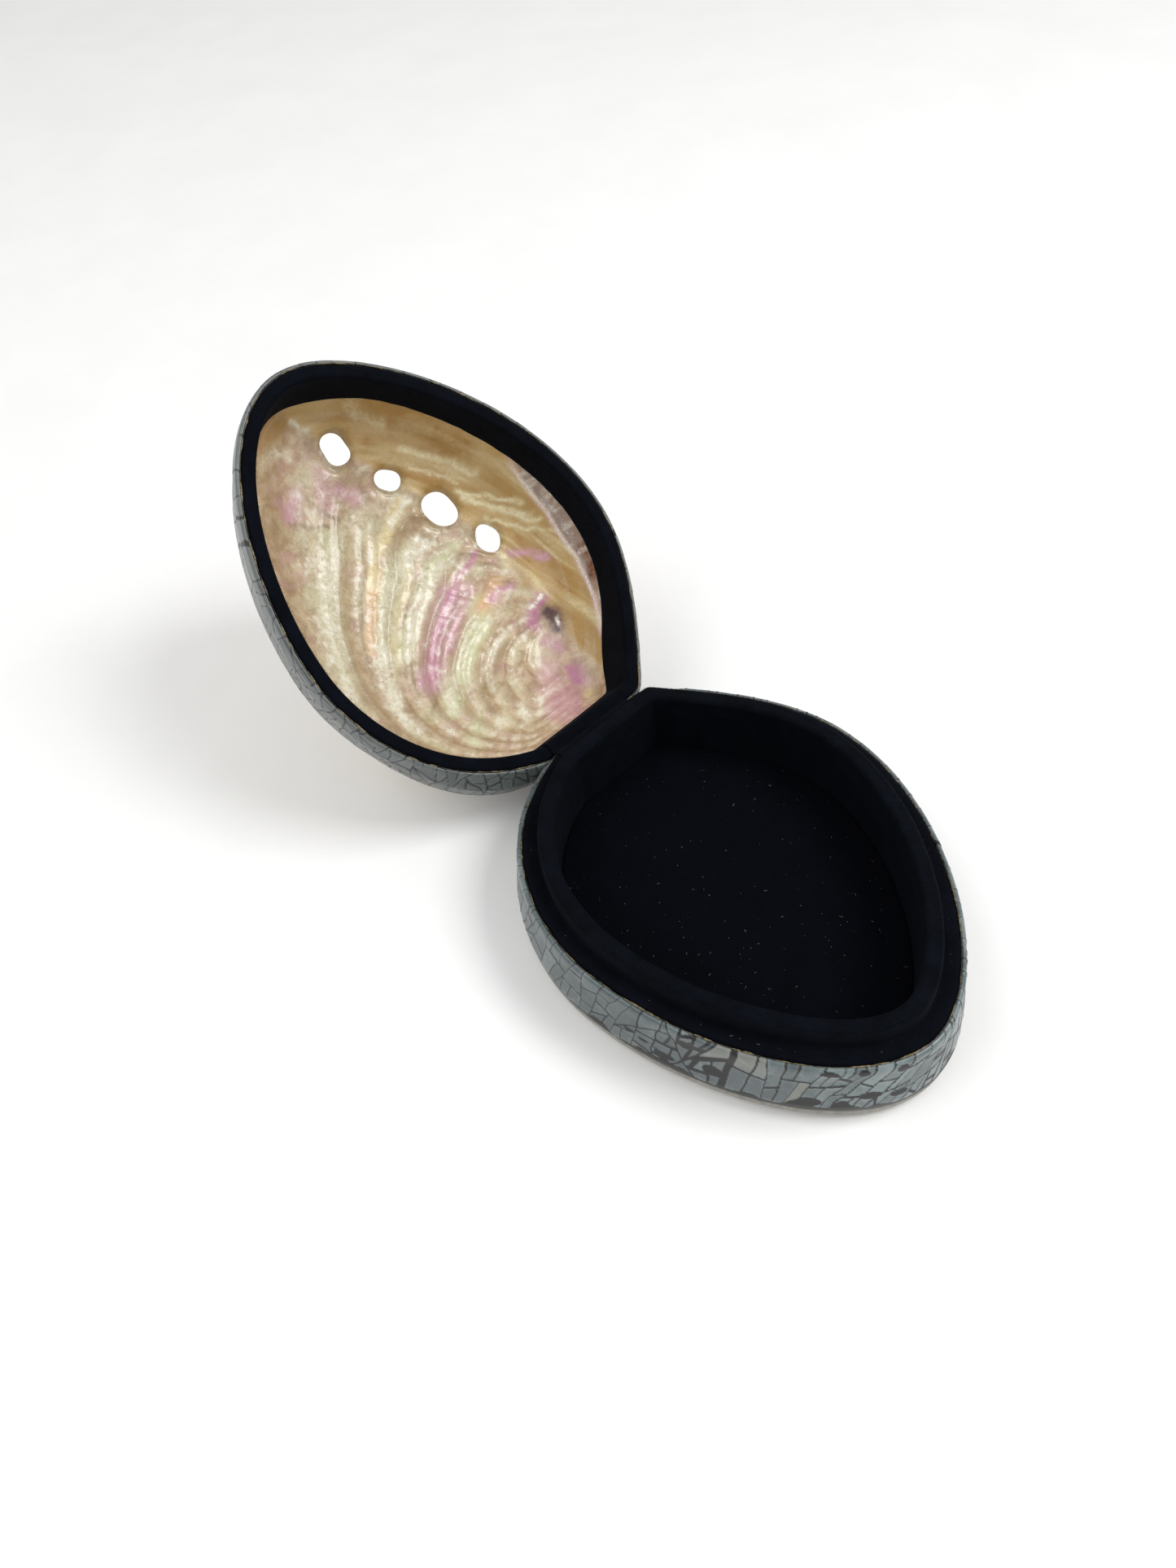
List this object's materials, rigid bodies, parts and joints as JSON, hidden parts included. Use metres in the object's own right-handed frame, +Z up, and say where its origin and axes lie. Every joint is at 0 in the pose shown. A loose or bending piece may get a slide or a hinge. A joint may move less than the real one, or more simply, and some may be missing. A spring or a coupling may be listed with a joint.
{
  "type": "shell box",
  "caption": "Velvet-lined ornamental box with an abalone shell for a lid, a cloth hinge and bands of shell mosaic, standing open.",
  "frame": {"origin": "middle of the flat underside", "axes": "+Z up, +X along the hinge, +Y from the tray's pointed end towards the hinge and the open lid"},
  "size_m": [0.0952, 0.2117, 0.0921],
  "materials": {
    "tray_mosaic": "polished shell pieces in dark grout",
    "lid_mosaic": "polished shell pieces in dark grout",
    "bottom_board": "cast composition, satin",
    "abalone": "mother of pearl, glossy",
    "velvet": "velvet pile over card"
  },
  "bodies": {
    "tray": {"base_band": "tray_mosaic", "base_bottom": "bottom_board", "base_liner": "velvet", "base_floor_pad": "velvet", "hinge_cloth_base": "velvet"},
    "lid": {"lid_band": "lid_mosaic", "lid_shell": "abalone", "lid_liner": "velvet", "hinge_cloth_lid": "velvet"}
  },
  "joints": [
    {"name": "lid_hinge", "type": "hinge", "parent": "tray", "child": "lid", "pos_m": [0.005, 0.056, 0.0203], "axis": [1, 0, 0], "range_deg": [0, 139.1]}
  ]
}
